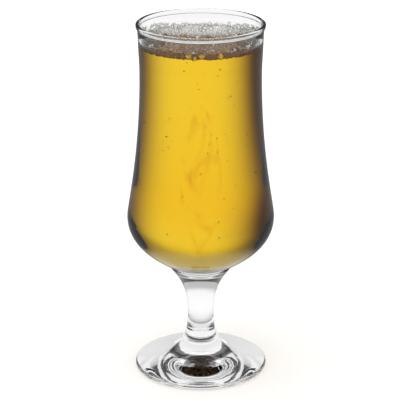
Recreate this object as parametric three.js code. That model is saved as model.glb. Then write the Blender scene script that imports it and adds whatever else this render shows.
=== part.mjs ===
// A stemmed tulip beer glass, filled. A blown bowl, a drawn stem and a pressed foot are three pieces of
// glass fused in line at flat seats. The beer and its thin head of foam fill the bowl.
// Millimetres, +Z up. The origin is the middle of the plane that the foot stands on.
import * as THREE from "three";

// Foot, from the standing plane up
const FOOT_RADIUS = 35.1;
const FOOT_EDGE = 2.6; // thickness of the disc at its round outer edge
const FOOT_RING = 13.5; // width of the flat ring that the glass stands on
const FOOT_HOLLOW = 1.2; // how far the underside rises at its middle
const FOOT_HEIGHT = 17.7; // up to the seat under the stem
const COLLAR_HEIGHT = 1.4; // collar below that seat
const COLLAR_STEP = 0.25; // how far the collar stands out from the stem's lower end
const COLLAR_SPREAD = 0.5; // how much wider the collar is at its foot

// Stem, from the foot's seat up
const STEM_LENGTH = 39.3;
const STEM_END_RADIUS = 8.55; // lower end, spread where it was pressed on to the foot
const STEM_WAIST_RADIUS = 6.9;
const STEM_WAIST_RISE = 13.3; // lower end to the narrowest place
const SEAT_RADIUS = 15.9; // flared top, fused under the bowl

// Bowl, from the stem's seat up
const BELLY_RISE = 28; // seat to the widest place
const BELLY_RADIUS = 38.5;
const WAIST_RISE = 78; // widest place to the waist
const WAIST_RADIUS = 31.25;
const LIP_RISE = 17.5; // waist to where the lip turns out
const LIP_RADIUS = 31.9;
const RIM_RISE = 7.7; // lip to the top of the rim
const RIM_RADIUS = 33;
const RIM_BEAD = 2; // thickness of the fire-polished bead
const BASE_THICKNESS = 4; // glass between the seat and the bowl's floor
const BELLY_WALL = 2.1;
const WAIST_WALL = 1.65;
const LIP_WALL = 1.5;

// Drink
const HEADSPACE = 10.7; // rim to the beer's surface
const FOAM_AT_WALL = 3.2; // depth of foam where it climbs the glass
const FOAM_AT_MIDDLE = 1.2;
const FILL_CLEARANCE = 0.35; // between the drink and the glass

// Fullness of the curves: how much of its run each handle takes, out or along and up or down
const HOLLOW_FULLNESS = { middle: 0.17, ring: 0.7 };
const TRUMPET_FULLNESS = { discIn: 0.51, discUp: 0.21, collarOut: 0.09, collarDown: 0.7 };
const STEM_FULLNESS = { endIn: 0.64, endUp: 0.22, waist: 0.53 };
const FLARE_FULLNESS = { waist: 0.733, seatOut: 0.145, seatDown: 0.055 };
const UNDERSIDE_FULLNESS = { seatOut: 0.21, seatUp: 0.16, belly: 0.6 };
const SIDE_FULLNESS = { belly: 0.077, waist: 0.558 };
const NECK_FULLNESS = { waist: 0.25, lip: 0.4 };
const LIP_FULLNESS = { lip: 0.4, rimIn: 0.25, rimDown: 0.25 };
const LIP_LEAN = 0.02; // how far the lip leans out for each step up
const FLOOR_FULLNESS = { middle: 0.6, belly: 0.5 };
const DISH_FULLNESS = { edgeIn: 0.12, edgeDown: 0.7, middle: 0.6 };

// Fineness of the facets
const SIDES = 48; // round the axis
const LONG = 10; // steps along a long curve, a middling one, a short one and a round edge
const MEDIUM = 6;
const SHORT = 4;
const ROUND = 6;
const SAME_POINT = 1e-4; // points nearer than this are one

// Looks
const GLASS_LOOK = { color: 0xf3f5f5, roughness: 0.03, metalness: 0, transparent: true, opacity: 0.3 };
const BEER_LOOK = { color: 0xe0a21c, roughness: 0.05, metalness: 0, transparent: true, opacity: 0.85 };
const FOAM_LOOK = { color: 0xcbbda6, roughness: 0.6, metalness: 0 };

// Heights that follow
const SEAT_HEIGHT = FOOT_HEIGHT + STEM_LENGTH;
const BELLY_HEIGHT = SEAT_HEIGHT + BELLY_RISE;
const WAIST_HEIGHT = BELLY_HEIGHT + WAIST_RISE;
const LIP_HEIGHT = WAIST_HEIGHT + LIP_RISE;
const RIM_HEIGHT = LIP_HEIGHT + RIM_RISE;
const BEAD_HEIGHT = RIM_HEIGHT - RIM_BEAD / 2;
const BEER_LEVEL = RIM_HEIGHT - HEADSPACE;

const at = (radius, height) => new THREE.Vector2(radius, height);

/** A smooth run of points. leave and arrive are the steps from its ends to its two handles. */
function bend(from, leave, arrive, to, steps) {
  const first = from.clone().add(leave);
  const second = to.clone().add(arrive);
  return new THREE.CubicBezierCurve(from, first, second, to).getPoints(steps);
}

/** Half of a circle, anticlockwise from an angle in degrees that is measured from straight out. */
function halfRound(centre, radius, start) {
  const from = THREE.MathUtils.degToRad(start);
  const curve = new THREE.EllipseCurve(centre.x, centre.y, radius, radius, from, from + Math.PI);
  return curve.getPoints(ROUND);
}

/** Runs of points end to end, each shared end kept once. */
function chain(...runs) {
  const points = [];
  for (const point of runs.flat()) {
    const last = points.at(-1);
    if (!last || last.distanceTo(point) > SAME_POINT) points.push(point);
  }
  return points;
}

/** Where a rising run of points crosses a height. */
function crossing(points, height) {
  const next = points.findIndex((point) => point.y > height);
  const below = points[next - 1];
  const above = points[next];
  const share = (height - below.y) / (above.y - below.y);
  return below.clone().lerp(above, share).setY(height);
}

/** A solid of revolution about +Z from a profile that starts and ends on the axis. */
function revolved(name, profile, look) {
  const geometry = new THREE.LatheGeometry(profile, SIDES);
  geometry.rotateX(Math.PI / 2);
  const mesh = new THREE.Mesh(geometry, new THREE.MeshStandardMaterial(look));
  mesh.name = name;
  return mesh;
}

/** Pressed foot: a disc with a round edge and a trumpet that rises to a collar under the stem. */
function foot() {
  const collarTop = at(STEM_END_RADIUS + COLLAR_STEP, FOOT_HEIGHT);
  const collarFoot = at(collarTop.x + COLLAR_SPREAD, FOOT_HEIGHT - COLLAR_HEIGHT);
  const edge = at(FOOT_RADIUS - FOOT_EDGE / 2, FOOT_EDGE);
  const ring = at(edge.x - FOOT_RING, 0);
  const spread = edge.x - collarFoot.x;
  const drop = collarFoot.y - edge.y;
  const underMiddle = at(HOLLOW_FULLNESS.middle * ring.x, 0);
  const underRing = at(-HOLLOW_FULLNESS.ring * ring.x, 0);
  const discEnd = at(-TRUMPET_FULLNESS.discIn * spread, TRUMPET_FULLNESS.discUp * drop);
  const collarEnd = at(TRUMPET_FULLNESS.collarOut * spread, -TRUMPET_FULLNESS.collarDown * drop);
  const profile = chain(
    bend(at(0, FOOT_HOLLOW), underMiddle, underRing, ring, SHORT),
    halfRound(at(edge.x, FOOT_EDGE / 2), FOOT_EDGE / 2, -90),
    bend(edge, discEnd, collarEnd, collarFoot, LONG),
    [collarTop, at(0, FOOT_HEIGHT)],
  );
  return revolved("foot", profile, GLASS_LOOK);
}

/** Drawn stem: narrow near its lower end, flared to an upright edge under the bowl. */
function stem() {
  const end = at(STEM_END_RADIUS, FOOT_HEIGHT);
  const waist = at(STEM_WAIST_RADIUS, FOOT_HEIGHT + STEM_WAIST_RISE);
  const seat = at(SEAT_RADIUS, SEAT_HEIGHT);
  const rise = seat.y - waist.y;
  const spread = seat.x - waist.x;
  const endUp = at(STEM_FULLNESS.endIn * (waist.x - end.x), STEM_FULLNESS.endUp * STEM_WAIST_RISE);
  const waistDown = at(0, -STEM_FULLNESS.waist * STEM_WAIST_RISE);
  const waistUp = at(0, FLARE_FULLNESS.waist * rise);
  const seatDown = at(FLARE_FULLNESS.seatOut * spread, -FLARE_FULLNESS.seatDown * rise);
  const profile = chain(
    [at(0, FOOT_HEIGHT)],
    bend(end, endUp, waistDown, waist, MEDIUM),
    bend(waist, waistUp, seatDown, seat, LONG),
    [at(0, SEAT_HEIGHT)],
  );
  return revolved("stem", profile, GLASS_LOOK);
}

/** The tulip side from belly to rim, this far inside the outer skin at each station. */
function tulipSide(inset) {
  const belly = at(BELLY_RADIUS - inset.belly, BELLY_HEIGHT);
  const waist = at(WAIST_RADIUS - inset.waist, WAIST_HEIGHT);
  const lip = at(LIP_RADIUS - inset.lip, LIP_HEIGHT);
  const rim = at(RIM_RADIUS - inset.rim, BEAD_HEIGHT);
  const bellyUp = at(0, SIDE_FULLNESS.belly * WAIST_RISE);
  const waistDown = at(0, -SIDE_FULLNESS.waist * WAIST_RISE);
  const waistUp = at(0, NECK_FULLNESS.waist * LIP_RISE);
  const lipDown = at(-LIP_LEAN, -1).multiplyScalar(NECK_FULLNESS.lip * LIP_RISE);
  const lipUp = at(LIP_LEAN, 1).multiplyScalar(LIP_FULLNESS.lip * RIM_RISE);
  const rimDown = at(-LIP_FULLNESS.rimIn * (rim.x - lip.x), -LIP_FULLNESS.rimDown * RIM_RISE);
  return chain(
    bend(belly, bellyUp, waistDown, waist, LONG),
    bend(waist, waistUp, lipDown, lip, SHORT),
    bend(lip, lipUp, rimDown, rim, SHORT),
  );
}

/** The inside of the bowl from the middle of its floor up to the rim, less a clearance. */
function bowlInside(clearance) {
  const inset = {
    belly: BELLY_WALL + clearance,
    waist: WAIST_WALL + clearance,
    lip: LIP_WALL + clearance,
    rim: RIM_BEAD + clearance,
  };
  const floor = at(0, SEAT_HEIGHT + BASE_THICKNESS + clearance);
  const belly = at(BELLY_RADIUS - inset.belly, BELLY_HEIGHT);
  const floorOut = at(FLOOR_FULLNESS.middle * belly.x, 0);
  const bellyDown = at(0, -FLOOR_FULLNESS.belly * (belly.y - floor.y));
  return chain(bend(floor, floorOut, bellyDown, belly, LONG), tulipSide(inset));
}

/** Blown bowl: a flat seat below, a round belly, a long waist and a beaded rim. */
function bowl() {
  const seat = at(SEAT_RADIUS, SEAT_HEIGHT);
  const belly = at(BELLY_RADIUS, BELLY_HEIGHT);
  const seatOut = UNDERSIDE_FULLNESS.seatOut * (belly.x - seat.x);
  const seatUp = UNDERSIDE_FULLNESS.seatUp * BELLY_RISE;
  const bellyDown = at(0, -UNDERSIDE_FULLNESS.belly * BELLY_RISE);
  const beadMiddle = at(RIM_RADIUS - RIM_BEAD / 2, BEAD_HEIGHT);
  const profile = chain(
    [at(0, SEAT_HEIGHT)],
    bend(seat, at(seatOut, seatUp), bellyDown, belly, LONG),
    tulipSide({ belly: 0, waist: 0, lip: 0, rim: 0 }),
    halfRound(beadMiddle, RIM_BEAD / 2, 0),
    bowlInside(0).reverse(),
  );
  return revolved("bowl", profile, GLASS_LOOK);
}

/** Beer: what fills the bowl up to its level surface. */
function beer() {
  const wall = bowlInside(FILL_CLEARANCE);
  const wetted = wall.filter((point) => point.y < BEER_LEVEL);
  const profile = chain(wetted, [crossing(wall, BEER_LEVEL), at(0, BEER_LEVEL)]);
  return revolved("beer", profile, BEER_LOOK);
}

/** Head of foam: a thin layer on the beer that climbs the glass at its edge. */
function foamHead() {
  const wall = bowlInside(FILL_CLEARANCE);
  const edge = crossing(wall, BEER_LEVEL + FOAM_AT_WALL);
  const middle = at(0, BEER_LEVEL + FOAM_AT_MIDDLE);
  const touching = wall.filter((point) => point.y > BEER_LEVEL && point.y < edge.y);
  const edgeIn = at(-DISH_FULLNESS.edgeIn * edge.x, -DISH_FULLNESS.edgeDown * (edge.y - middle.y));
  const middleOut = at(DISH_FULLNESS.middle * edge.x, 0);
  const profile = chain(
    [at(0, BEER_LEVEL), crossing(wall, BEER_LEVEL)],
    touching,
    bend(edge, edgeIn, middleOut, middle, LONG),
  );
  return revolved("foam_head", profile, FOAM_LOOK);
}

const glass = new THREE.Group();
glass.name = "tulip_beer_glass";
glass.add(foot(), stem(), bowl(), beer(), foamHead());

export default glass;
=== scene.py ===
"""Looks of a stemmed tulip beer glass, filled with golden beer under a thin head of bubbles.

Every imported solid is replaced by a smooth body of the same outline, closed and of real thickness, so that
light bends through the glass and the beer as it does in the real ones. Metres, +Z up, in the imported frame.
"""
from __future__ import annotations

import logging
import math
import random
from dataclasses import dataclass, field
from enum import Enum
from functools import cache
from typing import Callable, Iterable, Sequence

import bmesh
import bpy
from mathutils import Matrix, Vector, noise
from mathutils.geometry import interpolate_bezier

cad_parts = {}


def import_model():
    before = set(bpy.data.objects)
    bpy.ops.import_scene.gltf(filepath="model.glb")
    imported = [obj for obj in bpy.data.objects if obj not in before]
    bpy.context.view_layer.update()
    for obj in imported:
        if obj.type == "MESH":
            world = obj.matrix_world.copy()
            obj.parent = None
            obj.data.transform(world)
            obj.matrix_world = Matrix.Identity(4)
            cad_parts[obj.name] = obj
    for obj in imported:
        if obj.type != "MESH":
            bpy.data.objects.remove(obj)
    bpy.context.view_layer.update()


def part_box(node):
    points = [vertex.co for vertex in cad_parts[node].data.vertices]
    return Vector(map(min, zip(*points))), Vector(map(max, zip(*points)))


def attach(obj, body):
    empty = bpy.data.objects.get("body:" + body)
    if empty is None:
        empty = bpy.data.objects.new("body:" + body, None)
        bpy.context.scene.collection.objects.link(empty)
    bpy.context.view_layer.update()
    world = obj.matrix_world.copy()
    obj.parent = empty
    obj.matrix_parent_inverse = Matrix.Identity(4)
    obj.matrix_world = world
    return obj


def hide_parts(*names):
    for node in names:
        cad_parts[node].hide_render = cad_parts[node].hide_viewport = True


LOG = logging.getLogger("tulip_beer_glass")

MM = 0.001
BODY = "root"

SIDES = 176  # facets round the axis
LONG = 30  # steps along a long curve, a short one and a round edge
SHORT = 12
ROUND = 18
SAME_POINT = 1e-8
CREASE = math.radians(28)  # a sharper edge than this stays an edge

Colour = tuple[float, float, float]
Shape = Callable[[Vector], Vector]
Socket = bpy.types.NodeSocket

WHITE: Colour = (1.0, 1.0, 1.0)
BLACK: Colour = (0.0, 0.0, 0.0)


class Slot(Enum):
    """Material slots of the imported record."""

    GLASS = "clear_glass"
    BEER = "beer"
    FOAM = "foam"


class Rays(Enum):
    """Kinds of light ray, by the name of the Light Path output."""

    CAMERA = "Is Camera Ray"
    SHADOW = "Is Shadow Ray"
    GLOSSY = "Is Glossy Ray"
    THROUGH = "Is Transmission Ray"


class Graph:
    """A node tree that is written one node at a time."""

    def __init__(self, tree: bpy.types.NodeTree) -> None:
        """Empty the tree.

        Args:
            tree: node tree of a material or of the world.
        """
        self.tree = tree
        self.tree.nodes.clear()

    def node(self, kind: str, sockets: dict | None = None, **settings: object) -> bpy.types.Node:
        """Add a node.

        Args:
            kind: node type without its ShaderNode prefix.
            sockets: values or sources for its inputs, by name or index.
            settings: properties of the node itself.

        Returns:
            The new node.
        """
        node = self.tree.nodes.new("ShaderNode" + kind)
        for name, value in settings.items():
            setattr(node, name, value)
        for key, value in (sockets or {}).items():
            socket = node.inputs[key]
            if isinstance(value, Socket):
                self.tree.links.new(value, socket)
            else:
                socket.default_value = (*value, 1.0) if socket.type == "RGBA" else value
        return node

    def add(self, kind: str, sockets: dict | None = None, **settings: object) -> Socket:
        """First output of a node that is added as in node."""
        return self.node(kind, sockets, **settings).outputs[0]

    def place(self) -> Socket:
        """Place on the piece."""
        return self.node("TexCoord").outputs["Object"]

    def along(self, vector: Socket, axis: str) -> Socket:
        """One coordinate of a vector."""
        return self.node("SeparateXYZ", {0: vector}).outputs[axis]

    def rays(self, kind: Rays) -> Socket:
        """One for rays of this kind, else nought."""
        return self.node("LightPath").outputs[kind.value]

    def edge_on(self, normal: Socket | None = None) -> Socket:
        """Nought where the surface, or one with this normal, is met face on, and one where edge on."""
        sockets = {"Blend": 0.5} if normal is None else {"Blend": 0.5, "Normal": normal}
        return self.node("LayerWeight", sockets).outputs["Facing"]

    def math(self, operation: str, *values: object) -> Socket:
        """Result of a Math node on these values or sources."""
        return self.add("Math", dict(enumerate(values)), operation=operation)

    def vector(self, operation: str, *values: object) -> Socket:
        """Result of a Vector Math node on these values or sources."""
        return self.add("VectorMath", dict(enumerate(values)), operation=operation)

    def clouds(self, place: Socket, size: float, detail: float = 2.0, distortion: float = 0.0) -> Socket:
        """Soft random shade that changes over this size."""
        sockets = {"Vector": place, "Scale": 1 / size, "Detail": detail, "Distortion": distortion}
        return self.add("TexNoise", sockets)

    def mottled(self, clouds: Socket, start: float, end: float) -> Socket:
        """Ease from start to end over most of a soft random shade's range."""
        return self.ramp(clouds, 0.3, 0.7, start, end)

    def ramp(self, value: object, low: float, high: float, start: object, end: float) -> Socket:
        """Ease from start to end.

        Args:
            value: source that is mapped.
            low: value at which the result is start.
            high: value at which the result is end.
            start: result at the low end.
            end: result at the high end.

        Returns:
            The eased result.
        """
        sockets = {"Value": value, "From Min": low, "From Max": high, "To Min": start, "To Max": end}
        return self.add("MapRange", sockets, interpolation_type="SMOOTHSTEP")

    def blend(self, share: object, first: object, second: object) -> Socket:
        """Colour that goes from the first to the second as share goes from nought to one."""
        return self.add("MixRGB", {0: share, 1: first, 2: second})

    def mix(self, share: object, first: Socket, second: Socket) -> Socket:
        """Shader that goes from the first to the second as share goes from nought to one."""
        return self.add("MixShader", {0: share, 1: first, 2: second})

    def shadowless(self, shader: Socket) -> Socket:
        """The shader, with lamps shining straight through it."""
        return self.mix(self.rays(Rays.SHADOW), shader, self.add("BsdfTransparent"))

    def finish(self, surface: Socket, volume: Socket | None = None) -> None:
        """Connect the output.

        Args:
            surface: shader of the surface.
            volume: shader of what is inside, where there is one.
        """
        world = isinstance(self.tree.id_data, bpy.types.World)
        sockets = {"Surface": surface} if volume is None else {"Surface": surface, "Volume": volume}
        self.node("OutputWorld" if world else "OutputMaterial", sockets)


class Finish:
    """A surface finish that makes its material once."""

    name: str

    def material(self) -> bpy.types.Material:
        """Make the finish's material on first use.

        Returns:
            The material.
        """
        known = bpy.data.materials.get(self.name)
        if known is not None:
            return known
        made = bpy.data.materials.new(self.name)
        made.use_nodes = True
        self.write(Graph(made.node_tree))
        return made

    def write(self, graph: Graph) -> None:
        """Write the finish's nodes into an empty tree."""
        raise NotImplementedError


@dataclass(frozen=True)
class Clear(Finish):
    """Clear glass or clear liquid: a bright surface with faint ripples and smudges."""

    name: str
    ior: float
    tint: Colour = (0.99, 0.993, 0.99)
    ripple_size: float = 9 * MM
    ripple_depth: float = 0.004 * MM
    smudge: float = 0.0  # roughness where a smear is thickest, and how many smears go into a ripple's width
    smears: float = 0.35
    absorbed: Colour | None = None  # share of each colour that is kept by a metre at density one
    density: float = 0.0

    def write(self, graph: Graph) -> None:
        """Write a refracting surface that lets lamps through, and what it absorbs.

        Args:
            graph: empty tree that takes the nodes.
        """
        place = graph.place()
        ripples = graph.clouds(place, self.ripple_size, detail=1.0)
        rough: Socket | float = 0.0
        if self.smudge:
            smears = graph.clouds(place, self.ripple_size / self.smears, detail=5.0)
            rough = graph.ramp(smears, 0.5, 0.75, 0.0, self.smudge)
        body = graph.add("BsdfPrincipled", {
            "Base Color": self.tint,
            "Roughness": rough,
            "IOR": self.ior,
            "Transmission Weight": 1.0,
            "Normal": graph.add("Bump", {"Height": ripples, "Distance": self.ripple_depth}),
        })
        volume = None
        if self.absorbed is not None:
            volume = graph.add("VolumeAbsorption", {"Color": self.absorbed, "Density": self.density})
        graph.finish(graph.shadowless(body), volume)


@dataclass(frozen=True)
class Bubble(Finish):
    """The wall of a gas bubble inside the beer."""

    name: str
    ior: float

    def write(self, graph: Graph) -> None:
        """Write a bright wall that bends light outwards."""
        graph.finish(graph.shadowless(graph.add("BsdfGlass", {"IOR": self.ior, "Roughness": 0.0})))


@dataclass(frozen=True)
class Fused(Finish):
    """The seat where two pieces of hot glass have run together, with nothing to see."""

    name: str = "fused_seat"

    def write(self, graph: Graph) -> None:
        """Write a surface that light passes straight through."""
        graph.finish(graph.add("BsdfTransparent"))


@dataclass(frozen=True)
class Froth(Finish):
    """Wet froth: clear bubbles with pale walls, soaked with beer where it lies against the glass, whitened
    towards +Y as painted backlight, darkened towards +X and -X as painted shade, with painted highlights on
    some bubbles and painted black shade on its underside.
    """

    name: str = "wet_froth"
    dark: Colour = (0.072, 0.038, 0.012)  # a bubble and its walls on top
    pale: Colour = (0.28, 0.19, 0.1)
    soaked_dark: Colour = (0.09, 0.03, 0.0)  # and against the glass
    soaked_pale: Colour = (0.38, 0.15, 0.0)
    painted_backlight_colour: Colour = (0.97, 0.97, 0.96)  # painted backlight: the white that the froth turns towards +Y, where it is lit from behind
    # where the painted backlight begins along +Y, and where it is whole
    backlight_starts: float = 7 * MM
    backlight_ends: float = 24 * MM
    flank: Colour = (0.035, 0.024, 0.016)  # painted shade: the dark that the froth turns towards +X and -X
    # where the painted shade begins towards the flanks, and where it is whole
    flank_starts: float = 14 * MM
    flank_ends: float = 29 * MM
    # painted highlight in the middle of some bubbles
    painted_highlight: Colour = (0.9, 0.87, 0.82)
    amber: Colour = (1.0, 0.78, 0.42)
    cell: float = 1.2 * MM
    finer: float = 2.6  # how many small bubbles go into a large one's width
    relief: float = 0.25 * MM
    dome: float = 0.75  # reach of a bubble's dome, width of its wall and of a small one's, all in cells
    wall: float = 0.16
    small_wall: float = 0.2
    walled: float = 0.05  # share that is clear at a bubble's wall, and in its middle
    hollow: float = 0.35
    ior: float = 1.33

    def write(self, graph: Graph) -> None:
        """Write glossy bubbles with pale walls between them, some with a painted highlight, clearer in their
        middles, whitened towards +Y and darkened towards the flanks as painted light and shade.

        Args:
            graph: empty tree that takes the nodes.
        """
        place = graph.place()
        coarse = {"Vector": place, "Scale": 1 / self.cell}
        fine = {"Vector": place, "Scale": self.finer / self.cell}
        nearest = graph.node("TexVoronoi", coarse)
        middle, chance = nearest.outputs["Distance"], nearest.outputs["Color"]
        dome = graph.ramp(middle, 0.0, self.dome, 1.0, 0.0)
        speck = graph.ramp(graph.add("TexVoronoi", fine), 0.0, self.dome, 0.35, 0.0)
        cells = graph.add("TexVoronoi", coarse, feature="DISTANCE_TO_EDGE")
        small = graph.add("TexVoronoi", fine, feature="DISTANCE_TO_EDGE")
        walls = graph.math("MAXIMUM", graph.ramp(cells, 0.02, self.wall, 1.0, 0.0),
                           graph.ramp(small, 0.0, self.small_wall, 0.6, 0.0))
        # Painted highlight: shining puts a white spot in the middle of some bubbles.
        shining = graph.math("MULTIPLY", graph.ramp(middle, 0.1, 0.28, 0.8, 0.0),
                             graph.ramp(graph.along(chance, "X"), 0.55, 0.75, 0.0, 1.0))
        normal = graph.along(graph.node("NewGeometry").outputs["Normal"], "Z")
        side = graph.ramp(normal, 0.35, 0.85, 1.0, 0.0)
        # Painted backlight: drift whitens the froth and makes it less clear towards +Y.
        drift = graph.ramp(graph.along(place, "Y"), self.backlight_starts, self.backlight_ends, 0.0, 1.0)
        # Painted shade: thin darkens the froth towards +X and -X, less so towards +Y.
        across = graph.math("ABSOLUTE", graph.along(place, "X"))
        thin = graph.math("MULTIPLY", graph.ramp(across, self.flank_starts, self.flank_ends, 0.0, 0.8),
                          graph.ramp(drift, 0.0, 0.5, 1.0, 0.0))
        painted_backlight_mask = graph.math("MULTIPLY", drift, graph.ramp(cells, 0.0, self.wall, 0.5, 1.0))
        top = graph.blend(painted_backlight_mask, graph.blend(walls, self.dark, self.pale), self.painted_backlight_colour)
        wet = graph.blend(side, top, graph.blend(walls, self.soaked_dark, self.soaked_pale))
        lit = graph.blend(shining, graph.blend(thin, wet, self.flank), self.painted_highlight)
        # The base colour goes to black on faces that look down: painted shade on the froth's underside.
        body = graph.add("BsdfPrincipled", {
            "Base Color": graph.blend(graph.ramp(normal, -0.9, -0.3, 0.9, 0.0), lit, BLACK),
            "Roughness": graph.ramp(graph.along(chance, "Y"), 0.2, 0.8, 0.12, 0.35),
            "IOR": self.ior,
            "Specular IOR Level": graph.ramp(side, 0.0, 1.0, 0.5, 0.15),
            "Normal": graph.add("Bump", {"Height": graph.math("ADD", dome, speck), "Distance": self.relief}),
        })
        share = graph.math("MULTIPLY", graph.ramp(walls, 0.0, 0.7, self.hollow, self.walled),
                           graph.ramp(drift, 0.0, 1.0, 1.0, 0.2))
        graph.finish(graph.mix(share, body, graph.add("BsdfTransparent", {"Color": self.amber})))


@dataclass(frozen=True)
class Film(Finish):
    """The skin of a bubble in air: clear in the middle, where some share is painted milky as painted light,
    glossy at its very edge, and painted grey there as shade.
    """

    name: str
    gloss: float = 0.03  # roughness where it is shiniest and dullest
    dull: float = 0.09
    edge: float = 0.16
    begins: float = 0.45  # how far from face on its edge begins to darken, as painted shade
    # painted shade at the edge, for the dark surroundings seen in the film
    grey: Colour = (0.16, 0.125, 0.09)
    tint: Colour = WHITE
    milk: float = 0.35  # share that is painted milky in its middle, as painted light shining through it
    painted_milk_colour: Colour = (0.95, 0.94, 0.92)
    blotch: float = 2 * MM

    def write(self, graph: Graph) -> None:
        """Write a clear skin with a painted milky middle that reflects more, and lets less through as painted
        grey shade, the more it is seen edge on.

        Args:
            graph: empty tree that takes the nodes.
        """
        rough = graph.mottled(graph.clouds(graph.place(), self.blotch), self.gloss, self.dull)
        shine = graph.add("BsdfGlossy", {"Roughness": rough, "Color": WHITE})
        facing = graph.edge_on()
        through = graph.blend(graph.ramp(facing, self.begins, 0.98, 0.0, 1.0), self.tint, self.grey)
        clear = graph.add("BsdfTransparent", {"Color": through})
        white = graph.add("BsdfDiffuse", {"Color": self.painted_milk_colour})
        milky = graph.mix(graph.ramp(facing, 0.0, self.begins, self.milk, 0.0), clear, white)
        weight = graph.node("LayerWeight", {"Blend": self.edge}).outputs["Fresnel"]
        graph.finish(graph.shadowless(graph.mix(weight, milky, shine)))


@dataclass(frozen=True)
class Sunk(Finish):
    """The wall of a bubble in the beer's surface, painted with light: a golden glow of the beer below, the
    brown froth behind it above and painted shade at its edge.
    """

    level: float  # height of the beer's surface, and how far above it the painted glow begins to fade and is gone
    fades: float = 0.68 * MM
    rise: float = 3.4 * MM
    name: str = "sunk_bubble"
    # The gold is a painted glow of the beer's light seen through the bubble, the brown the froth behind it
    # painted in, and the dark a painted shade at its edge.
    painted_beer_glow: Colour = (1.0, 0.58, 0.0)
    brown: Colour = (0.15, 0.07, 0.02)
    dark: Colour = (0.045, 0.016, 0.003)
    streak: float = 1.3 * MM
    uneven: float = 3 * MM
    ior: float = 1.33

    def write(self, graph: Graph) -> None:
        """Write a glossy wall with painted streaks of the beer's light in it and painted shade at its edge.

        Args:
            graph: empty tree that takes the nodes.
        """
        place = graph.place()
        streaks = graph.clouds(place, self.streak, detail=1.0)
        height = graph.math("MULTIPLY_ADD", graph.math("SUBTRACT", streaks, 0.5), self.uneven,
                            graph.along(place, "Z"))
        # Painted glow: lower is gold near the beer and fades to brown higher up; edge is painted shade.
        lower = graph.ramp(height, self.level + self.fades, self.level + self.rise, 1.0, 0.0)
        edge = graph.ramp(graph.edge_on(), 0.3, 0.75, 0.0, 1.0)
        graph.finish(graph.add("BsdfPrincipled", {
            "Base Color": graph.blend(edge, graph.blend(lower, self.brown, self.painted_beer_glow), self.dark),
            "Roughness": graph.mottled(streaks, 0.05, 0.15),
            "IOR": self.ior,
        }))


@dataclass(frozen=True)
class Sediment(Finish):
    """Fine brown specks of yeast and hops."""

    name: str = "sediment"
    brown: Colour = (0.06, 0.025, 0.005)
    size: float = 6 * MM

    def write(self, graph: Graph) -> None:
        """Write a matt brown that varies from speck to speck."""
        rough = graph.mottled(graph.clouds(graph.place(), self.size), 0.5, 0.9)
        graph.finish(graph.add("BsdfPrincipled", {"Base Color": self.brown, "Roughness": rough}))


@dataclass(frozen=True)
class Haze(Finish):
    """Faint wisps of yeast that drift up through the beer."""

    name: str = "yeast_haze"
    veil: Colour = (0.9, 0.81, 0.58)
    size: float = 14 * MM
    drawn: tuple[float, float, float] = (1.0, 1.0, 0.4)  # stretches them upwards

    def write(self, graph: Graph) -> None:
        """Write upright wisps that take a little of the light, with nothing between them.

        Args:
            graph: empty tree that takes the nodes.
        """
        place = graph.vector("MULTIPLY", graph.place(), self.drawn)
        wisps = graph.clouds(place, self.size, detail=5.0, distortion=1.6)
        passed = graph.blend(graph.ramp(wisps, 0.5, 0.7, 0.0, 1.0), WHITE, self.veil)
        graph.finish(graph.add("BsdfTransparent", {"Color": passed}))


GLASS_INDEX = 1.52
BEER_INDEX = 1.34
BEER_KEEPS = (0.993, 0.884, 0.0)
BEER_DENSITY = 70.0

CLEAR_GLASS = Clear("blown_glass", GLASS_INDEX, ripple_depth=0.001 * MM)
PRESSED_GLASS = Clear("pressed_glass", GLASS_INDEX, ripple_size=5 * MM, ripple_depth=0.01 * MM, smudge=0.03)
WETTED_GLASS = Clear("wetted_glass", GLASS_INDEX / BEER_INDEX, ripple_depth=0.001 * MM)
FUSED_SEAT = Fused()
BEER_BODY = Clear("golden_beer", 1.0, WHITE, absorbed=BEER_KEEPS, density=BEER_DENSITY)
BEER_SURFACE = Clear("beer_surface", BEER_INDEX, WHITE)
GAS = Bubble("bubble_in_beer", 1.0 / BEER_INDEX)
SEDIMENT = Sediment()
HAZE = Haze()
FROTH = Froth()
# Bubble films: wet ones with an amber milky middle, painted light from the beer; dark ones towards the
# flanks, painted shade; and milky white ones, painted backlight, towards +Y, at random and on the large
# floating bubbles.
WET_FILM = Film("wet_film", grey=(0.12, 0.05, 0.006), painted_milk_colour=(0.6, 0.3, 0.03), tint=(1.0, 0.94, 0.84))
PAINTED_SHADE_FILM = Film("painted_shade_film", begins=0.12, grey=(0.05, 0.04, 0.033), tint=(0.68, 0.64, 0.6), milk=0.0)
PAINTED_LIGHT_FILM = Film("painted_light_film", begins=0.6, grey=(0.64, 0.61, 0.58), milk=0.95)


@dataclass
class Span:
    """A stretch of a profile, as (radius, height) points, with one finish."""

    points: list[Vector]
    finish: Finish


def at(radius: float, height: float) -> Vector:
    """A point of a profile."""
    return Vector((radius, height))


def around(radius: float, turn: float, height: float) -> Vector:
    """A place at this distance from the axis, in this direction."""
    return Vector((radius * math.cos(turn), radius * math.sin(turn), height))


def bend(start: Vector, leave: Vector, arrive: Vector, end: Vector, steps: int) -> list[Vector]:
    """A smooth run of points.

    Args:
        start: first point.
        leave: step from the first point to its handle.
        arrive: step from the last point to its handle.
        end: last point.
        steps: number of steps along the run.

    Returns:
        The points, both ends among them.
    """
    knots = [point.to_3d() for point in (start, start + leave, end + arrive, end)]
    return [point.to_2d() for point in interpolate_bezier(*knots, steps + 1)]


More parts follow.
